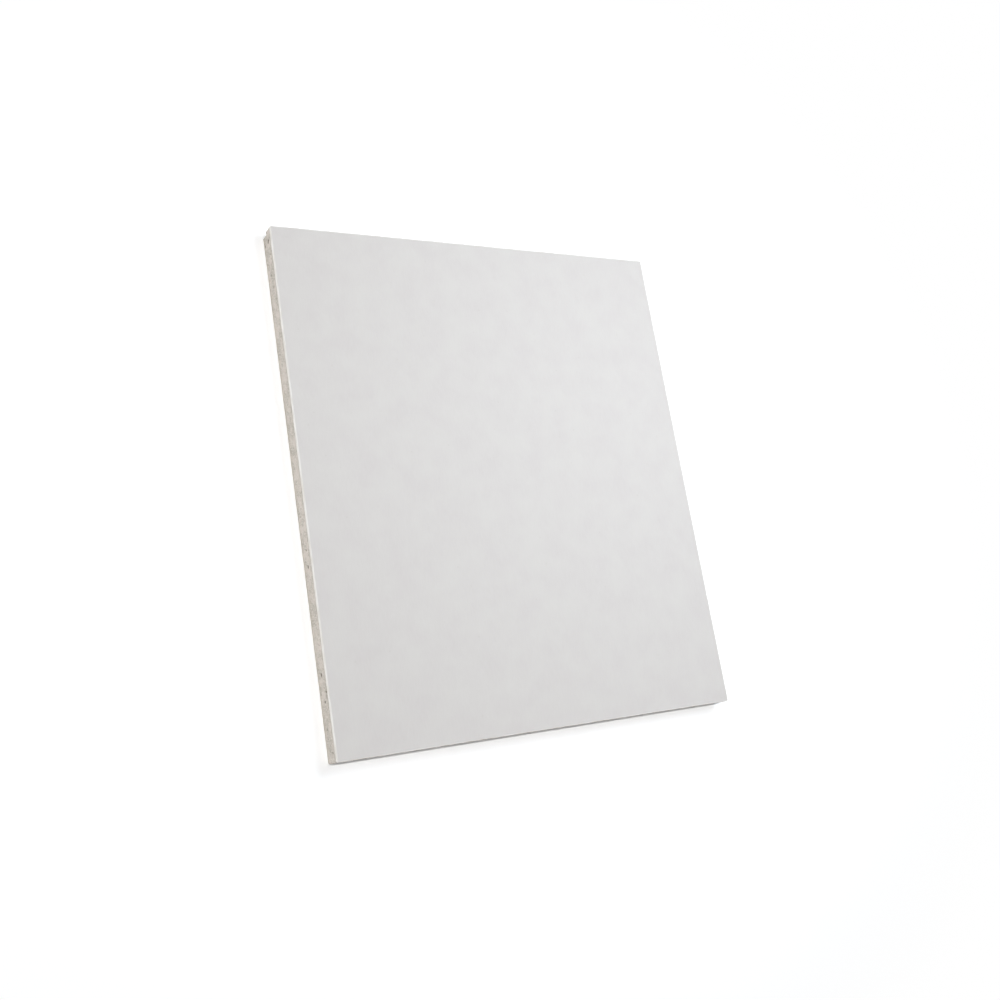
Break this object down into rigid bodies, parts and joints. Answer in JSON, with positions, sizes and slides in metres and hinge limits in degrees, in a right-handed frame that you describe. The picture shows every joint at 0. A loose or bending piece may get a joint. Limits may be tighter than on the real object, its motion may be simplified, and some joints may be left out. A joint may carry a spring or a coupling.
{
  "type": "drywall sheet",
  "caption": "Small rectangular piece of paper-faced gypsum board with cut edges, and a rebate along the top of its back.",
  "frame": {"origin": "middle of the sheet's outline, on the back, where it rests on the floor", "axes": "+Z out of the face, +Y along the long side towards the rebated short edge, +X to the right as seen with the face up and the rebate at the top"},
  "size_m": [0.254, 0.29, 0.0125],
  "materials": {
    "gypsum": "matte",
    "face_paper": "matte",
    "back_paper": "matte"
  },
  "bodies": {
    "root": {"gypsum_core": "gypsum", "face_liner": "face_paper", "back_liner": "back_paper"}
  },
  "joints": []
}
